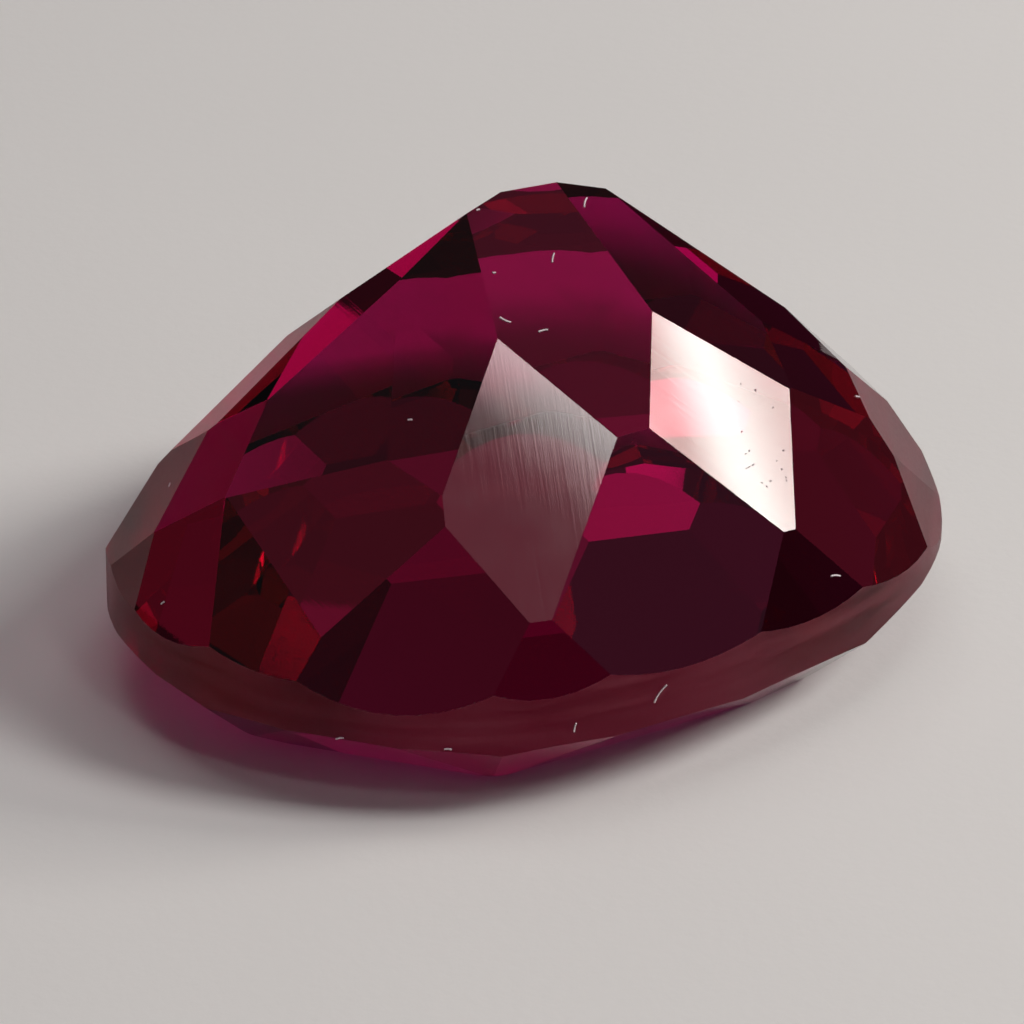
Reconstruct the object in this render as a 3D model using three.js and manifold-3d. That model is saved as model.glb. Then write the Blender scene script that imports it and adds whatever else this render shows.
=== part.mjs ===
import * as THREE from 'three';
import Module from 'manifold-3d';

// A faceted oval stone, lying on its flat table with the pointed pavilion up.
// Millimetres, +Z up, the long axis of the oval along X, the table on z = 0.
// One solid: pavilion, frosted girdle band and crown are all cut on the same crystal.

// Girdle outline: an ellipse that the cutter left slightly uneven.
const LENGTH = 12.0;
const WIDTH = 10.04;
const LOBE_3 = 0.027;
const LOBE_3_TURN = -37.9;
const LOBE_4 = 0.021;
const LOBE_4_TURN = -19.2;
const OUTLINE_STEPS = 120;

// Heights: crown under the girdle, the straight frosted band, and the reference
// height at the top of the band from which every pavilion cut is measured.
const CROWN_HEIGHT = 1.15;
const BAND_HEIGHT = 0.61;
const CUT_ZERO = CROWN_HEIGHT + BAND_HEIGHT;
const BLANK_HEIGHT = 9.0;

// Crown tiers, hidden under the stone: slope of each tier from the table.
const MAIN_COUNT = 8;
const MAIN_SLOPE = 40;
const BREAK_COUNT = 16;
const BREAK_SLOPE = 45;
const BREAK_DROP = 0.04;
const STAR_COUNT = 8;
const STAR_SLOPE = 27;
const STAR_REACH = 0.79;

const RUBY = 0x5c1030;
const rad = THREE.MathUtils.degToRad;

// One point of the girdle outline, by its ellipse angle in radians.
function outlinePoint(t) {
  const uneven = 1 + LOBE_3 * Math.cos(3 * (t - rad(LOBE_3_TURN))) + LOBE_4 * Math.cos(4 * (t - rad(LOBE_4_TURN)));
  return [LENGTH / 2 * uneven * Math.cos(t), WIDTH / 2 * uneven * Math.sin(t)];
}

function outline() {
  return Array.from({ length: OUTLINE_STEPS }, (_, i) => outlinePoint(2 * Math.PI * i / OUTLINE_STEPS));
}

// How far the outline reaches from the axis in one direction.
function reach(points, azimuth) {
  const a = rad(azimuth);
  return Math.max(...points.map(([x, y]) => x * Math.cos(a) + y * Math.sin(a)));
}

// A pavilion facet: compass direction it faces, slope from level, and its distance
// from the point on the axis at the top of the girdle band.
function facet(azimuth, slope, distance) {
  return { azimuth, slope, distance };
}

// The same cut on the far side, half a turn round.
function opposite({ azimuth, slope, distance }) {
  return facet(azimuth + 180, slope, distance);
}

// Keeps what lies inward of a slanted plane. Up is +1 for the pavilion, -1 for the crown.
function cut(solid, { azimuth, slope, distance }, up, height) {
  const s = Math.sin(rad(slope));
  const n = [s * Math.cos(rad(azimuth)), s * Math.sin(rad(azimuth)), up * Math.cos(rad(slope))];
  return solid.trimByPlane(n.map((v) => -v), -(distance + n[2] * height));
}

// Flattest tier, round the point: they meet in a short crooked keel.
const culetTier = {
  right: facet(-48.7, 39.3, 4.34),
  front: facet(-88.7, 38.4, 4.32),
  frontLeft: facet(-136.4, 43.0, 4.58),
  left: facet(-147.4, 44.9, 4.66),
  farLeft: facet(149.1, 40.2, 4.48),
  back: facet(84.5, 40.0, 3.85),
  backRight: facet(69.3, 40.0, 3.91),
  backLeft: facet(114.2, 44.0, 3.80),
};

// Rhomb tier, halfway down.
const rhombTier = {
  farRight: facet(-25.7, 40.1, 4.46),
  right: facet(-68.5, 47.7, 4.24),
  front: facet(-108.2, 48.8, 4.36),
  left: facet(-141.8, 53.4, 4.71),
  farLeft: facet(173.0, 50.5, 5.03),
  leftEnd: facet(138.0, 44.9, 4.28),
  backRight: facet(22.5, 46.0, 4.12),
  back: facet(72.0, 47.0, 3.91),
};

// One small extra facet that closes the corner between two rhombs.
const cornerPatch = facet(-39.3, 45.0, 4.46);

// Large facets between the rhombs and the girdle.
const lowerTier = {
  right: facet(-55.4, 56.9, 4.48),
  front: facet(-88.5, 58.9, 4.30),
  frontLeft: facet(-128.1, 63.2, 4.80),
  left: facet(-170.0, 63.3, 5.42),
  leftEnd: facet(158.8, 54.9, 4.99),
  rightEnd: facet(-25.6, 57.5, 4.91),
  backEnd: facet(-7.0, 47.9, 4.63),
};

// Steepest tier, small facets that stand on the girdle band.
const girdleTier = {
  rightEnd: facet(-34.7, 63.6, 5.09),
  right: facet(-73.9, 67.8, 4.66),
  front: facet(-107.2, 72.6, 4.91),
  left: facet(-145.8, 57.4, 4.91),
  farLeft: facet(177.8, 65.6, 5.59),
  backLeft: facet(123.9, 53.0, 3.98),
  backEnd: facet(135.1, 62.5, 4.65),
  backRight: facet(17.3, 64.0, 4.81),
};

const backTier = [lowerTier.frontLeft, lowerTier.front, girdleTier.front, girdleTier.left, girdleTier.right]
  .map(opposite);

function cutPavilion(solid) {
  const tiers = [culetTier, rhombTier, lowerTier, girdleTier].flatMap((tier) => Object.values(tier));
  return [...tiers, ...backTier, cornerPatch].reduce((s, f) => cut(s, f, 1, CUT_ZERO), solid);
}

// A crown cut whose plane meets the outline at the given height.
function crownCut(solid, points, azimuth, slope, height, share) {
  const distance = Math.sin(rad(slope)) * reach(points, azimuth) * share;
  return cut(solid, facet(azimuth, slope, distance), -1, height);
}

function cutCrown(solid, points) {
  let stone = solid;
  for (let i = 0; i < MAIN_COUNT; i += 1) {
    stone = crownCut(stone, points, 360 * i / MAIN_COUNT, MAIN_SLOPE, CROWN_HEIGHT, 1);
  }
  for (let i = 0; i < BREAK_COUNT; i += 1) {
    stone = crownCut(stone, points, 360 * (i + 0.5) / BREAK_COUNT, BREAK_SLOPE, CROWN_HEIGHT - BREAK_DROP, 1);
  }
  for (let i = 0; i < STAR_COUNT; i += 1) {
    stone = crownCut(stone, points, 360 * (i + 0.5) / STAR_COUNT, STAR_SLOPE, 0, STAR_REACH);
  }
  return stone;
}

function toGeometry(solid) {
  const mesh = solid.getMesh();
  const geometry = new THREE.BufferGeometry();
  const position = new Float32Array(mesh.numVert * 3);
  for (let i = 0; i < mesh.numVert; i += 1) {
    position.set(mesh.vertProperties.subarray(i * mesh.numProp, i * mesh.numProp + 3), i * 3);
  }
  geometry.setAttribute('position', new THREE.BufferAttribute(position, 3));
  geometry.setIndex(new THREE.BufferAttribute(new Uint32Array(mesh.triVerts), 1));
  geometry.computeVertexNormals();
  return geometry;
}

const kernel = await Module();
kernel.setup();

const points = outline();
const blank = new kernel.CrossSection([points]).extrude(BLANK_HEIGHT);
const cutStone = cutCrown(cutPavilion(blank), points);

// The uneven outline is centred on the axis by its own extent.
const box = cutStone.boundingBox();
const stone = cutStone.translate([-(box.min[0] + box.max[0]) / 2, -(box.min[1] + box.max[1]) / 2, 0]);

const sapphire = new THREE.Mesh(
  toGeometry(stone),
  new THREE.MeshStandardMaterial({ color: RUBY, roughness: 0.06, metalness: 0 }),
);
sapphire.name = 'sapphire';

const part = new THREE.Group();
part.name = 'faceted_sapphire';
part.add(sapphire);

export default part;
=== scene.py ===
import math

import bmesh
import bpy
from bpy.props import FloatProperty, FloatVectorProperty, IntProperty, PointerProperty
from mathutils import Matrix, Quaternion, Vector
from mathutils.bvhtree import BVHTree


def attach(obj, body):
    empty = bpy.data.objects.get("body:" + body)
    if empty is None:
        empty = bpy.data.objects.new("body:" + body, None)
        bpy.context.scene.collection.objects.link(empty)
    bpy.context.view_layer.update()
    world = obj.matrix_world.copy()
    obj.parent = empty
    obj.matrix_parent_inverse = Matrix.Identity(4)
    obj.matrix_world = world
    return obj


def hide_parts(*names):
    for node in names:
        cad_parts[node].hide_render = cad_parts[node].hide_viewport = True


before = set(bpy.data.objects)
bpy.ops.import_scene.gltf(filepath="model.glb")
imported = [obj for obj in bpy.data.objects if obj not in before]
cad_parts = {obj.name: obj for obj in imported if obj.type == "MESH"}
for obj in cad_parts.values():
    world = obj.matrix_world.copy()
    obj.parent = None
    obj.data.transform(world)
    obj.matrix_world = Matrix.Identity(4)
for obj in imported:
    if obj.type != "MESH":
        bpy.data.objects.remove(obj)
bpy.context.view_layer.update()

bl_info = {
    "name": "Faceted oval stone",
    "version": (1, 0, 0),
    "blender": (4, 5, 0),
    "location": "View3D > Sidebar > Stone",
    "description": "Dresses the cut stone with polished facets, a ground girdle band and lint, on a paper floor",
    "category": "Object",
}

MM = 0.001

# Where the picture is taken from: the stone seen pavilion up, three quarters on.
IMAGE_SIZE = 1024
VIEW_TURN = math.radians(-29.8)
VIEW_RISE = math.radians(30.67)
VIEW_ROLL = math.radians(0.98)
VIEW_DISTANCE = 82.36 * MM
AIM = Vector((0.047, -0.130, 1.76)) * MM
AIM_PIXEL = (522.2, 508.3)
LENS = 205.0
SENSOR = 36.0

# Facets with less polish than the rest: direction faced, slope, roughness, share of ground finish.
HAZY = {
    "right_rhomb": (-68.5, 47.7, 0.03, 0.0),
    "front_rhomb": (-108.2, 48.8, 0.05, 0.0),
    "right_end_lower": (-25.6, 57.5, 0.05, 1.0),
    "right_end_girdle": (-34.7, 63.6, 0.05, 1.0),
    "left_end_rhomb": (138.0, 44.9, 0.05, 0.7),
    "left_end_lower": (158.8, 54.9, 0.05, 0.8),
    "far_left_girdle": (177.8, 65.6, 0.05, 0.8),
    "far_left_rhomb": (173.0, 50.5, 0.03, 0.4),
}
PLAIN_POLISH = (0.0, 0.0)

# What tells the surfaces of the stone apart.
WELD = 0.0005 * MM
FLAT = math.radians(0.2)
SAME_FACET = math.radians(1)
RIDGE = math.radians(2)
BAND_TILT = 0.03
CROWN_TILT = -0.1
FAR_SIDE = -0.3

# Grain of the finishes. On the facets it is counted per mm of the polish map, along and
# across the polishing lines, and elsewhere per metre. The lines turn from facet to facet,
# by a first turn, a step and a span in degrees.
POLISHING_LINES = (0.35, 22.0, 1.0)
SMEARS = 1.6
GRIT = 16000.0
BAND_STREAKS = (500.0, 500.0, 5500.0)
LINE_TURNS = (37, 67, 120)
SCRATCH_BY_HAZE = 30.0
PLAIN_SCRATCH = 0.015
RIDGE_ROUGHNESS = 0.12
LINE_DEPTH = 0.002 * MM
PIT_DEPTH = 0.004 * MM
CLEAR = (1.0, 0.93, 0.97, 1.0)
BAND_SHEEN = (1.0, 0.4, 0.45, 1.0)
BAND_PALE = (1.0, 0.95, 0.96, 1.0)
POWDER_PALE = (0.58, 0.13, 0.18, 1.0)

FLOOR_GAP = 0.01 * MM
ROOM_COLOUR = (1.0, 0.88, 1.0, 1.0)

# Softboxes round the stone: azimuth (0 is straight behind it, 90 to the right) and height
# in degrees, distance and size in mm, brightness, colour.
SOFTBOXES = {
    "window": ((77, 28), 160, (50, 48), 13.0, (1.0, 0.955, 0.90)),
    "window_upper": ((98, 45), 200, (52, 60), 14.5, (1.0, 0.99, 0.97)),
    "window_edge": ((60, 25), 200, (46, 100), 0.35, (1.0, 0.97, 0.97)),
    "card": ((152, 50), 160, (29, 28), 8.0, (1.0, 0.93, 0.92)),
    "ceiling": ((0, 90), 200, (85, 85), 1.0, (1.0, 0.99, 0.98)),
    "ceiling_left": ((315, 66), 200, (67, 78), 1.0, (1.0, 0.99, 0.98)),
    "ceiling_right": ((45, 66), 200, (67, 78), 1.0, (1.0, 0.99, 0.98)),
    "back_wall": ((5, 40), 200, (112, 100), 0.16, (1.0, 0.98, 1.0)),
    "back_strip": ((-15, 41.2), 200, (34, 15), 0.36, (1.0, 0.97, 1.0)),
    "front_right": ((128, 38), 200, (96, 70), 0.15, (1.0, 0.98, 1.0)),
    "red_front": ((120, 22), 200, (56, 26), 0.22, (1.0, 0.12, 0.35)),
    "red_upper": ((91, 59), 200, (30, 24), 0.42, (1.0, 0.05, 0.2)),
    "red_right": ((62, 6), 200, (40, 24), 0.3, (1.0, 0.05, 0.12)),
    "red_left": ((-88, 9), 200, (40, 30), 0.5, (1.0, 0.02, 0.1)),
    "red_upper_left": ((-132, 37), 200, (36, 30), 0.3, (1.0, 0.02, 0.1)),
    "far_back": ((355, 12), 200, (142, 78), 0.09, (1.0, 0.97, 1.0)),
}
EVEN = (0, 1.0, ((0.0, 1.0), (1.0, 1.0)))
# Lamps that aren't even: turn of the fade in degrees, how far red holds out as it dims
# (1 is not at all), and its stops as place and share.
FADES = {
    "window": (-43.8, 0.6, (
        (0.37, 1.0), (0.416, 0.38), (0.431, 0.34), (0.444, 0.60), (0.463, 1.0),
        (0.474, 1.0), (0.491, 0.74), (0.518, 0.47), (0.58, 1.0),
    )),
    "card": (213.7, 0.88, ((0.39, 1.0), (0.45, 0.60), (0.53, 0.09), (0.58, 0.03))),
}

LINT_LIFT = 0.006 * MM
# Lint in the picture: pixel it lies on, length in mm, lie on the surface in degrees.
LINT = {
    "crest": ((585, 203), 0.20, 80),
    "crest_left": ((553, 258), 0.14, 80),
    "brow": ((494, 273), 0.05, 0),
    "brow_left": ((478, 210), 0.05, 20),
    "middle_left": ((505, 320), 0.17, 165),
    "middle_right": ((543, 331), 0.14, 20),
    "speck": ((410, 420), 0.06, 0),
    "right_foot": ((835, 576), 0.17, 0),
    "band_long": ((660, 693), 0.30, 55),
    "band_short": ((575, 727), 0.14, 80),
    "band_left": ((340, 738), 0.12, 20),
    "band_low": ((448, 749), 0.10, 0),
    "right_end": ((857, 397), 0.10, 30),
    "left_end": ((170, 485), 0.06, 60),
    "far_left": ((163, 603), 0.07, 20),
}
# The part of the bright facet that has tiny dark specks, by the pixels of its corners.
SPECKLED = {
    "upper_right": (784, 392),
    "lower_right": (790, 512),
    "lower_left": (748, 478),
    "upper_left": (728, 366),
}


class Sock:
    """A shader socket that adds Math nodes when it is reckoned with."""

    def __init__(self, tree, socket):
        self.tree = tree
        self.socket = socket

    def _math(self, operation, *values):
        return self.tree.add("ShaderNodeMath", {"operation": operation}, dict(enumerate(values)))

    def __add__(self, other):
        return self._math("ADD", self, other)

    def __radd__(self, other):
        return self._math("ADD", other, self)

    def __sub__(self, other):
        return self._math("SUBTRACT", self, other)

    def __mul__(self, other):
        return self._math("MULTIPLY", self, other)

    def clamped(self):
        return self.tree.add("ShaderNodeClamp", {}, {"Value": self})


class Tree:
    """A node tree built from plain calls."""

    def __init__(self, owner):
        owner.use_nodes = True
        self.nodes = owner.node_tree.nodes
        self.links = owner.node_tree.links
        self.nodes.clear()

    def add(self, kind, settings=None, inputs=None, output=0):
        node = self.nodes.new(kind)
        for name, value in (settings or {}).items():
            if name == "stops":
                self._stops(node.color_ramp, value)
            else:
                setattr(node, name, value)
        for name, value in (inputs or {}).items():
            if isinstance(value, Sock):
                self.links.new(value.socket, node.inputs[name])
            else:
                node.inputs[name].default_value = value
        if not node.outputs:
            return None
        return Sock(self, node.outputs[output])

    @staticmethod
    def _stops(ramp, stops):
        while len(ramp.elements) < len(stops):
            ramp.elements.new(1.0)
        for element, (place, colour) in zip(ramp.elements, stops):
            element.position = place
            element.color = colour


def camera_axes():
    """Right, up and back of the camera, as the columns of a matrix."""
    back = Vector((
        math.sin(VIEW_TURN) * math.cos(VIEW_RISE),
        -math.cos(VIEW_TURN) * math.cos(VIEW_RISE),
        math.sin(VIEW_RISE),
    ))
    level = back.to_track_quat("Z", "Y").to_matrix()
    return level @ Matrix.Rotation(VIEW_ROLL, 3, "Z")


def pixel_ray(pixel):
    """Start and direction of the sight line through a pixel of the picture."""
    axes = camera_axes()
    focal = LENS / SENSOR * IMAGE_SIZE
    right = (pixel[0] - AIM_PIXEL[0]) / focal
    up = (AIM_PIXEL[1] - pixel[1]) / focal
    start = AIM + axes @ Vector((0, 0, VIEW_DISTANCE))
    return start, (axes @ Vector((right, up, -1))).normalized()


def new_object(name, mesh):
    obj = bpy.data.objects.new(name, mesh)
    bpy.context.collection.objects.link(obj)
    return obj


# The stone

def merged_facets(source):
    """A copy of the cut stone's mesh with each flat facet as one face."""
    bm = bmesh.new()
    bm.from_mesh(source.data)
    bmesh.ops.remove_doubles(bm, verts=bm.verts, dist=WELD)
    bmesh.ops.dissolve_limit(bm, angle_limit=FLAT, verts=bm.verts, edges=bm.edges)
    bmesh.ops.recalc_face_normals(bm, faces=bm.faces)
    return bm


def is_band(face):
    return abs(face.normal.z) < BAND_TILT


def wear_edges(bm, width):
    """Takes the sharpness off the ridges between facets, but not off the band's fine steps."""
    ridges = [e for e in bm.edges if len(e.link_faces) == 2 and not all(is_band(f) for f in e.link_faces)]
    ridges = [e for e in ridges if e.calc_face_angle() > RIDGE]
    return bmesh.ops.bevel(
        bm, geom=ridges, offset=width, offset_type="OFFSET", segments=1, profile=0.5,
        affect="EDGES", clamp_overlap=True, loop_slide=True,
    )["faces"]


def facet_axes(normal, number):
    """Directions along and across the polishing lines of one facet."""
    level = normal.cross(Vector((0, 0, 1)))
    level = level.normalized() if level.length > 0.01 else Vector((1, 0, 0))
    slope = normal.cross(level)
    first, step, span = LINE_TURNS
    turn = math.radians(first + number * step % span)
    along = level * math.cos(turn) + slope * math.sin(turn)
    return along, normal.cross(along)


def polish_of(normal):
    """Roughness and share of ground finish on a facet that faces one way."""
    for azimuth, slope, roughness, share in HAZY.values():
        across = math.sin(math.radians(slope))
        faced = Vector((
            across * math.cos(math.radians(azimuth)),
            across * math.sin(math.radians(azimuth)),
            math.cos(math.radians(slope)),
        ))
        if normal.angle(faced) < SAME_FACET:
            return roughness, share
    return PLAIN_POLISH


def mark_surface(bm, worn):
    """Writes what the material needs: shares of each finish, a mask of the downward crown facets that get painted
    shade, and a polish map in mm.
    """
    ground, ridge, haze, crown = (
        bm.faces.layers.float.new(name) for name in ("ground", "ridge", "haze", "crown")
    )
    polish = bm.loops.layers.uv.new("polish")
    worn = set(worn)
    toward_camera = camera_axes() @ Vector((0, 0, 1))
    for number, face in enumerate(bm.faces):
        band = is_band(face)
        face[haze], face[ground] = polish_of(face.normal)
        if band:
            face[ground] = 0.0 if face.normal.dot(toward_camera) < FAR_SIDE else 1.0
        # Crown facets face down onto the paper; the material darkens them as painted shade.
        face[crown] = 1.0 if face.normal.z < CROWN_TILT else 0.0
        face[ridge] = 1.0 if face in worn else 0.0
        face.smooth = band
        along, across = facet_axes(face.normal, number)
        for loop in face.loops:
            place = loop.vert.co / MM
            loop[polish].uv = (place.dot(along), place.dot(across))
    for edge in bm.edges:
        edge.smooth = all(is_band(f) for f in edge.link_faces)


def noise(tree, place, scale, detail, roughness, **more):
    return tree.add("ShaderNodeTexNoise", {}, {
        "Vector": place, "Scale": scale, "Detail": detail, "Roughness": roughness, **more,
    })


def stretched(tree, place, scale):
    return tree.add("ShaderNodeMapping", {}, {"Vector": place, "Scale": scale})


def mixed(tree, share, first, second, **settings):
    """One colour over another, by a share."""
    return tree.add("ShaderNodeMix", {"data_type": "RGBA", **settings}, {0: share, 6: first, 7: second}, output=2)


def share_on_faces(tree, name):
    return tree.add("ShaderNodeAttribute", {"attribute_name": name}, output=2)


def polished_crystal(tree, settings):
    """Clear crystal with faint polishing lines, duller on hazy facets and ridges, with painted shade darkening the
    downward crown facets.
    """
    polish = tree.add("ShaderNodeUVMap", {"uv_map": "polish"})
    haze = share_on_faces(tree, "haze")
    lines = noise(tree, stretched(tree, polish, POLISHING_LINES), 1.0, 2.0, 0.6)
    smears = noise(tree, polish, SMEARS, 1.0, 0.6)
    rough = haze * (lines * 1.6 + smears * 1.2 - 0.4) + share_on_faces(tree, "ridge") * RIDGE_ROUGHNESS
    scratches = tree.add("ShaderNodeBump", {}, {
        "Strength": haze * haze * SCRATCH_BY_HAZE + PLAIN_SCRATCH, "Distance": LINE_DEPTH, "Height": lines,
    })
    return tree.add("ShaderNodeBsdfPrincipled", {}, {
        # Base colour darkened on the crown facets: painted shade under the stone.
        "Base Color": mixed(tree, share_on_faces(tree, "crown"), CLEAR, (*settings.crown_shade_colour, 1.0)),
        "Roughness": rough.clamped(),
        "IOR": settings.ior,
        "Transmission Weight": 1.0,
        "Normal": scratches,
    })


def ground_crystal(tree, settings):
    """Ground crystal: rough and gritty, with streaks and a little grinding powder."""
    place = tree.add("ShaderNodeTexCoord", output=3)
    grit = noise(tree, place, GRIT, 2.0, 0.7)
    streaks = noise(tree, stretched(tree, place, BAND_STREAKS), 1.0, 2.0, 0.55, Distortion=0.4)
    pale = (streaks * 2.4 - 0.7).clamped()
    frost = settings.band_frost + (grit - 0.5) * 0.2
    pits = tree.add("ShaderNodeBump", {}, {"Strength": 0.3, "Distance": PIT_DEPTH, "Height": grit})
    rough = tree.add("ShaderNodeBsdfPrincipled", {}, {
        "Base Color": mixed(tree, pale, (*settings.band_colour, 1.0), BAND_PALE),
        "Roughness": frost.clamped(),
        "IOR": settings.band_ior,
        "Specular Tint": BAND_SHEEN,
        "Transmission Weight": 1.0,
        "Normal": pits,
    })
    powder = tree.add("ShaderNodeBsdfDiffuse", {}, {
        "Color": mixed(tree, pale, (*settings.powder_colour, 1.0), POWDER_PALE), "Roughness": 0.5,
    })
    share = settings.band_powder + (grit - 0.5) * 0.1 + (pale - 0.5) * 0.16
    return tree.add("ShaderNodeMixShader", {}, {0: share.clamped(), 1: rough, 2: powder})


def stone_material(settings):
    """Red crystal that light goes through: polished facets and a ground girdle band."""
    material = bpy.data.materials.new("ruby_crystal")
    tree = Tree(material)
    surface = tree.add("ShaderNodeMixShader", {}, {
        0: share_on_faces(tree, "ground"), 1: polished_crystal(tree, settings), 2: ground_crystal(tree, settings),
    })
    inside = tree.add("ShaderNodeVolumeAbsorption", {}, {
        "Color": (*settings.colour, 1.0),
        "Density": settings.depth_of_colour,
    })
    tree.add("ShaderNodeOutputMaterial", {}, {"Surface": surface, "Volume": inside})
    return material


class StoneSettings(bpy.types.PropertyGroup):
    ior: FloatProperty(
        name="Refractive index", description="How strongly the crystal bends light", default=1.77, min=1.0, max=2.5,
    )
    colour: FloatVectorProperty(
        name="Body colour", description="Colour that the crystal lets through", subtype="COLOR",
        default=(0.885, 0.028, 0.66), min=0.0, max=1.0,
    )
    depth_of_colour: FloatProperty(
        name="Depth of colour", description="Absorption per metre of crystal", default=800.0, min=0.0,
    )
    edge_wear: FloatProperty(
        name="Edge wear", description="Width taken off each ridge", default=0.012 * MM, min=0.0, unit="LENGTH",
    )
    band_frost: FloatProperty(
        name="Band frost", description="Roughness of the ground girdle band", default=0.35, min=0.0, max=1.0,
    )
    # Painted shade: a darker base colour that stands in for the shade on the downward crown facets.
    crown_shade_colour: FloatVectorProperty(
        name="Crown colour", description="Painted shade: share of light that the shaded crown lets through", subtype="COLOR",
        default=(0.45, 0.41, 0.47), min=0.0, max=1.0,
    )
    band_ior: FloatProperty(
        name="Band index", description="Refractive index that the rough band acts with", default=1.3, min=1.0, max=2.5,
    )
    band_colour: FloatVectorProperty(
        name="Band colour", description="Tint of the ground girdle band", subtype="COLOR",
        default=(1.0, 0.66, 0.70), min=0.0, max=1.0,
    )
    band_powder: FloatProperty(
        name="Band powder", description="Share of grinding haze on the band", default=0.14, min=0.0, max=1.0,
    )
    powder_colour: FloatVectorProperty(
        name="Powder colour", description="Colour of the grinding haze", subtype="COLOR",
        default=(0.50, 0.03, 0.07), min=0.0, max=1.0,
    )


class STONE_OT_dress(bpy.types.Operator):
    """Dress the cut stone with worn ridges, polished facets and a ground band"""

    bl_idname = "stone.dress"
    bl_label = "Dress the stone"

    def execute(self, context):
        settings = context.scene.stone_settings
        bm = merged_facets(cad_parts["sapphire"])
        worn = wear_edges(bm, settings.edge_wear)
        bmesh.ops.recalc_face_normals(bm, faces=bm.faces)
        mark_surface(bm, worn)
        if any(len(e.link_faces) != 2 for e in bm.edges):
            raise RuntimeError("the dressed stone is not closed")
        mesh = bpy.data.meshes.new("sapphire_stone")
        bm.to_mesh(mesh)
        bm.free()
        mesh.materials.append(stone_material(settings))
        stone = new_object("sapphire_stone", mesh)
        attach(stone, "root")
        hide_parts("sapphire")
        return {"FINISHED"}


# Lint

def skin_of(stone):
    bm = bmesh.new()
    bm.from_mesh(stone.data)
    skin = BVHTree.FromBMesh(bm)
    bm.free()
    return skin


def found_on(skin, name, pixel):
    """Place and normal of the stone's surface under a pixel of the picture."""
    hit, normal, _, _ = skin.ray_cast(*pixel_ray(pixel))
    if hit is None:
        raise RuntimeError(f"{name} misses the stone")
    return hit, normal


def speckled_patch(skin):
    """The speckled corner of the bright facet as one face."""
    mesh = bpy.data.meshes.new("speckled_patch")
    corners = [found_on(skin, name, pixel)[0] for name, pixel in SPECKLED.items()]
    mesh.from_pydata(corners, [], [range(len(corners))])
    return mesh


def lint_points(skin):
    """A loose point for each fibre, on the surface that the picture shows it on."""
    right = camera_axes() @ Vector((1, 0, 0))
    mesh = bpy.data.meshes.new("lint_points")
    places, turns, lengths = [], [], []
    for name, (pixel, length, lie) in LINT.items():
        hit, normal = found_on(skin, name, pixel)
        flat = (right - normal * right.dot(normal)).normalized()
        along = Matrix.Rotation(math.radians(lie), 3, normal) @ flat
        basis = Matrix((along, normal.cross(along), normal)).transposed()
        places.append(hit + normal * LINT_LIFT)
        turns.append(basis.to_euler())
        lengths.append(length)
    mesh.from_pydata(places, [], [])
    mesh.attributes.new("turn", "FLOAT_VECTOR", "POINT")
    mesh.attributes.new("size", "FLOAT", "POINT")
    for i, (euler, length) in enumerate(zip(turns, lengths)):
        mesh.attributes["turn"].data[i].vector = euler
        mesh.attributes["size"].data[i].value = length
    return mesh


class Growth:
    """A geometry node group with named inputs, built from plain calls."""

    def __init__(self, name, inputs):
        self.group = bpy.data.node_groups.new(name, "GeometryNodeTree")
        face = self.group.interface
        face.new_socket("Geometry", in_out="INPUT", socket_type="NodeSocketGeometry")
        self.names = {}
        for label, kind in inputs.items():
            self.names[label] = face.new_socket(label, in_out="INPUT", socket_type=kind).identifier
        face.new_socket("Geometry", in_out="OUTPUT", socket_type="NodeSocketGeometry")

    def add(self, kind, settings=None, inputs=None):
        node = self.group.nodes.new(kind)
        for name, value in (settings or {}).items():
            setattr(node, name, value)
        for name, value in (inputs or {}).items():
            if isinstance(value, bpy.types.NodeSocket):
                self.group.links.new(value, node.inputs[name])
            else:
                node.inputs[name].default_value = value
        return node

    def grow(self, mesh, values):
        """A real mesh object grown on another mesh, which is used up."""
        seedbed = new_object("seedbed", mesh)
        grower = seedbed.modifiers.new(self.group.name, "NODES")
        grower.node_group = self.group
        for label, value in values.items():
            grower[self.names[label]] = value
        evaluated = seedbed.evaluated_get(bpy.context.evaluated_depsgraph_get())
        grown = bpy.data.meshes.new_from_object(evaluated)
        if not grown.polygons:
            raise RuntimeError(f"nothing was made for {self.group.name}")
        grown.name = self.group.name
        bpy.data.objects.remove(seedbed)
        return new_object(self.group.name, grown)


def lint_growth(material):
    """A bent fibre on every point, sized and turned by it."""
    growth = Growth("lint", {"Fibre thickness": "NodeSocketFloat", "Bend": "NodeSocketFloat"})
    add = growth.add
    entry = add("NodeGroupInput")
    lift = add("ShaderNodeCombineXYZ", {}, {"Y": entry.outputs["Bend"]})
    arc = add("GeometryNodeCurveQuadraticBezier", {}, {
        "Resolution": 6, "Start": (-0.5, 0, 0), "Middle": lift.outputs[0], "End": (0.5, 0, 0.08),
    })
    ring = add("GeometryNodeCurvePrimitiveCircle", {}, {"Resolution": 6, "Radius": entry.outputs["Fibre thickness"]})
    size = add("GeometryNodeInputNamedAttribute", {"data_type": "FLOAT"}, {"Name": "size"})
    turn = add("GeometryNodeInputNamedAttribute", {"data_type": "FLOAT_VECTOR"}, {"Name": "turn"})
    long = add("ShaderNodeVectorMath", {"operation": "SCALE"}, {0: (MM, MM, MM), "Scale": size.outputs[0]})
    spread = add("GeometryNodeInstanceOnPoints", {}, {
        "Points": entry.outputs["Geometry"],
        "Instance": arc.outputs[0],
        "Rotation": turn.outputs[0],
        "Scale": long.outputs[0],
    })
    real = add("GeometryNodeRealizeInstances", {}, {"Geometry": spread.outputs[0]})
    tube = add("GeometryNodeCurveToMesh", {}, {
        "Curve": real.outputs[0], "Profile Curve": ring.outputs[0], "Fill Caps": True,
    })
    painted = add("GeometryNodeSetMaterial", {}, {"Geometry": tube.outputs[0], "Material": material})
    add("NodeGroupOutput", {}, {"Geometry": painted.outputs[0]})
    return growth


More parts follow.
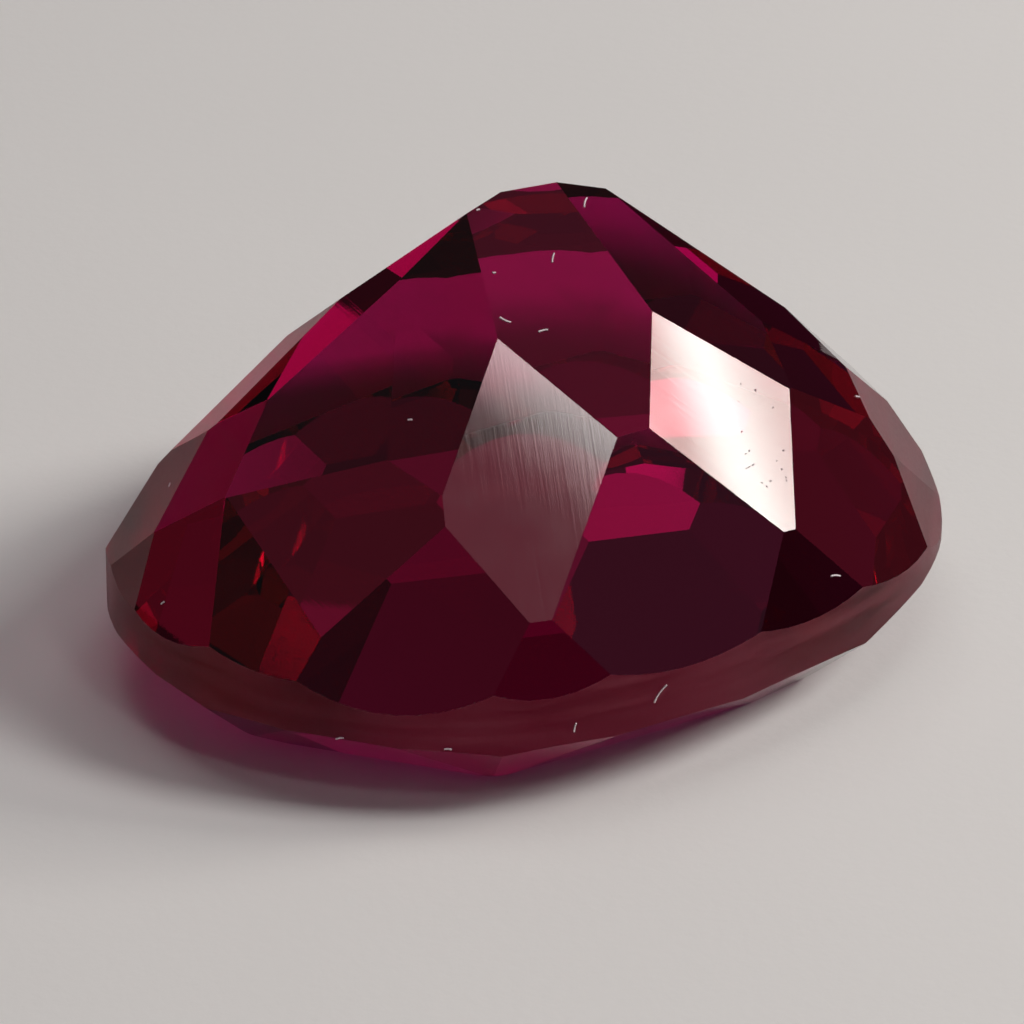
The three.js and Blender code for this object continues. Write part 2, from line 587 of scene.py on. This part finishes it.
def speck_growth(material):
    """Small flat grains scattered over a patch."""
    growth = Growth("specks", {
        "Grains per area": "NodeSocketFloat", "Grain size": "NodeSocketFloat", "Seed": "NodeSocketInt",
    })
    add = growth.add
    entry = add("NodeGroupInput")
    spread = add("GeometryNodeDistributePointsOnFaces", {}, {
        "Mesh": entry.outputs["Geometry"],
        "Density": entry.outputs["Grains per area"],
        "Seed": entry.outputs["Seed"],
    })
    grain = add("GeometryNodeMeshIcoSphere", {}, {"Radius": entry.outputs["Grain size"], "Subdivisions": 2})
    sizes = add("FunctionNodeRandomValue", {"data_type": "FLOAT_VECTOR"}, {
        "Min": (0.5, 0.5, 0.3), "Max": (1.5, 1.0, 0.5), "Seed": entry.outputs["Seed"],
    })
    placed = add("GeometryNodeInstanceOnPoints", {}, {
        "Points": spread.outputs["Points"],
        "Instance": grain.outputs["Mesh"],
        "Rotation": spread.outputs["Rotation"],
        "Scale": sizes.outputs[0],
    })
    real = add("GeometryNodeRealizeInstances", {}, {"Geometry": placed.outputs[0]})
    painted = add("GeometryNodeSetMaterial", {}, {"Geometry": real.outputs[0], "Material": material})
    add("NodeGroupOutput", {}, {"Geometry": painted.outputs[0]})
    return growth


def dirt_material(name, dark, light):
    material = bpy.data.materials.new(name)
    tree = Tree(material)
    place = tree.add("ShaderNodeTexCoord", output=3)
    fleck = noise(tree, place, 9000.0, 2.0, 0.5)
    shader = tree.add("ShaderNodeBsdfPrincipled", {}, {
        "Base Color": mixed(tree, fleck, (*dark, 1.0), (*light, 1.0)), "Roughness": 0.8 + (fleck - 0.5) * 0.2,
    })
    tree.add("ShaderNodeOutputMaterial", {}, {"Surface": shader})
    return material


class LintSettings(bpy.types.PropertyGroup):
    thickness: FloatProperty(
        name="Fibre thickness", description="Radius of a fibre", default=0.012 * MM, min=0.0, unit="LENGTH",
    )
    bend: FloatProperty(name="Bend", description="Bow of a fibre as a share of its length", default=0.12)
    specks: FloatProperty(name="Specks", description="Dark specks per square metre of facet", default=1.4e7, min=0.0)
    speck_size: FloatProperty(
        name="Speck size", description="Radius of a dark speck", default=0.017 * MM, min=0.0, unit="LENGTH",
    )
    seed: IntProperty(name="Seed", description="Arrangement of the specks", default=4, min=0)


class STONE_OT_lint(bpy.types.Operator):
    """Lay the lint on the stone where the picture shows it"""

    bl_idname = "stone.lint"
    bl_label = "Lay the lint"

    def execute(self, context):
        settings = context.scene.lint_settings
        skin = skin_of(bpy.data.objects["sapphire_stone"])
        pale = dirt_material("pale_lint", (0.62, 0.55, 0.58), (0.93, 0.88, 0.90))
        dark = dirt_material("dark_specks", (0.20, 0.12, 0.16), (0.42, 0.30, 0.34))
        lint = lint_growth(pale).grow(
            lint_points(skin), {"Fibre thickness": settings.thickness, "Bend": settings.bend},
        )
        specks = speck_growth(dark).grow(speckled_patch(skin), {
            "Grains per area": settings.specks, "Grain size": settings.speck_size, "Seed": settings.seed,
        })
        for dirt in (lint, specks):
            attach(dirt, "root")
        return {"FINISHED"}


# The stage

def paper_material(settings):
    material = bpy.data.materials.new("paper")
    tree = Tree(material)
    place = tree.add("ShaderNodeTexCoord", output=3)
    fibre = noise(tree, place, 5000.0, 3.0, 0.5)
    broad = noise(tree, place, 120.0, 2.0, 0.5)
    pale = tuple(settings.paper_colour)
    shade = tuple(c * 0.96 for c in pale)
    bump = tree.add("ShaderNodeBump", {}, {"Strength": 0.25, "Distance": 0.02 * MM, "Height": fibre})
    shader = tree.add("ShaderNodeBsdfPrincipled", {}, {
        "Base Color": mixed(tree, broad, (*shade, 1.0), (*pale, 1.0)), "Roughness": 0.85, "Normal": bump,
    })
    tree.add("ShaderNodeOutputMaterial", {}, {"Surface": shader})
    return material


def softbox(name, way, distance, size, brightness, colour, fade):
    """A rectangular lamp that faces the stone, with stops of brightness across it."""
    turn, redness, stops = fade
    data = bpy.data.lights.new(name, "AREA")
    data.shape = "RECTANGLE"
    data.size, data.size_y = (length * MM for length in size)
    data.energy = math.pi * data.size * data.size_y * brightness
    tree = Tree(data)
    spot = tree.add("ShaderNodeNewGeometry", output=5)
    across = tree.add("ShaderNodeSeparateXYZ", {}, {"Vector": spot})
    tints = [(place, (share ** redness, share, share, 1.0)) for place, share in stops]
    fading = tree.add("ShaderNodeValToRGB", {"stops": tints}, {"Fac": across})
    tinted = mixed(tree, 1.0, fading, (*colour, 1.0), blend_type="MULTIPLY")
    glow = tree.add("ShaderNodeEmission", {}, {"Color": tinted})
    tree.add("ShaderNodeOutputLight", {}, {"Surface": glow})
    lamp = bpy.data.objects.new(name, data)
    bpy.context.collection.objects.link(lamp)
    lamp.location = AIM + way * distance * MM
    lamp.rotation_euler = (way.to_track_quat("Z", "Y") @ Quaternion((0, 0, 1), math.radians(turn))).to_euler()
    return lamp


def seen_at(azimuth, height):
    """The way to a lamp, its azimuth reckoned from straight away from the camera."""
    azimuth, height = math.radians(azimuth), math.radians(height)
    level = math.cos(height)
    seen = Vector((level * math.sin(azimuth), level * math.cos(azimuth), math.sin(height)))
    return Matrix.Rotation(VIEW_TURN, 3, "Z") @ seen


class StageSettings(bpy.types.PropertyGroup):
    paper_colour: FloatVectorProperty(
        name="Paper", description="Colour of the floor", subtype="COLOR", default=(0.90, 0.89, 0.87), min=0.0, max=1.0,
    )
    room: FloatProperty(name="Room light", description="Brightness of the even room light", default=0.055, min=0.0)
    lamps: FloatProperty(name="Lamps", description="Brightness of all softboxes together", default=1.0, min=0.0)
    paper_size: FloatProperty(
        name="Paper size", description="Side of the square floor", default=240 * MM, min=0.0, unit="LENGTH",
    )


class STONE_OT_stage(bpy.types.Operator):
    """Set the paper floor, the lights and the camera"""

    bl_idname = "stone.stage"
    bl_label = "Set the stage"

    def execute(self, context):
        scene = context.scene
        settings = scene.stage_settings
        bpy.ops.mesh.primitive_plane_add(size=settings.paper_size, location=(0, 0, 0))
        floor = context.active_object
        floor.name = "floor"
        for vertex in floor.data.vertices:
            vertex.co.z = -FLOOR_GAP
        floor.data.materials.append(paper_material(settings))

        world = bpy.data.worlds.new("room")
        scene.world = world
        tree = Tree(world)
        way = tree.add("ShaderNodeTexCoord", output=0)
        height = tree.add("ShaderNodeSeparateXYZ", {}, {"Vector": way}, output=2)
        level = (0.15 + height * 1.3).clamped() * settings.room
        light = tree.add("ShaderNodeBackground", {}, {"Color": ROOM_COLOUR, "Strength": level})
        tree.add("ShaderNodeOutputWorld", {}, {"Surface": light})

        for name, (place, distance, size, brightness, colour) in SOFTBOXES.items():
            way = seen_at(*place)
            softbox(name, way, distance, size, brightness * settings.lamps, colour, FADES.get(name, EVEN))

        data = bpy.data.cameras.new("camera")
        data.lens = LENS
        data.sensor_width = SENSOR
        data.clip_start = 1 * MM
        data.clip_end = 2.0
        data.shift_x = (IMAGE_SIZE / 2 - AIM_PIXEL[0]) / IMAGE_SIZE
        data.shift_y = (AIM_PIXEL[1] - IMAGE_SIZE / 2) / IMAGE_SIZE
        camera = bpy.data.objects.new("camera", data)
        context.collection.objects.link(camera)
        axes = camera_axes()
        camera.matrix_world = Matrix.Translation(AIM + axes @ Vector((0, 0, VIEW_DISTANCE))) @ axes.to_4x4()
        scene.camera = camera

        scene.view_settings.view_transform = "Standard"
        scene.cycles.max_bounces = 11
        scene.cycles.transmission_bounces = 10
        scene.cycles.glossy_bounces = 6
        scene.cycles.use_denoising = True
        return {"FINISHED"}


class STONE_PT_panel(bpy.types.Panel):
    bl_label = "Faceted stone"
    bl_idname = "STONE_PT_panel"
    bl_space_type = "VIEW_3D"
    bl_region_type = "UI"
    bl_category = "Stone"

    def draw(self, context):
        layout = self.layout
        groups = (
            (context.scene.stone_settings, "stone.dress"),
            (context.scene.lint_settings, "stone.lint"),
            (context.scene.stage_settings, "stone.stage"),
        )
        for settings, operator in groups:
            box = layout.box()
            for name in settings.__annotations__:
                box.prop(settings, name)
            box.operator(operator)


CLASSES = (
    StoneSettings, LintSettings, StageSettings, STONE_OT_dress, STONE_OT_lint, STONE_OT_stage, STONE_PT_panel,
)


def register():
    for cls in CLASSES:
        bpy.utils.register_class(cls)
    bpy.types.Scene.stone_settings = PointerProperty(type=StoneSettings)
    bpy.types.Scene.lint_settings = PointerProperty(type=LintSettings)
    bpy.types.Scene.stage_settings = PointerProperty(type=StageSettings)


def unregister():
    del bpy.types.Scene.stage_settings
    del bpy.types.Scene.lint_settings
    del bpy.types.Scene.stone_settings
    for cls in reversed(CLASSES):
        bpy.utils.unregister_class(cls)


def main():
    register()
    bpy.ops.stone.dress()
    bpy.ops.stone.lint()
    bpy.ops.stone.stage()


if __name__ == "__main__":
    main()
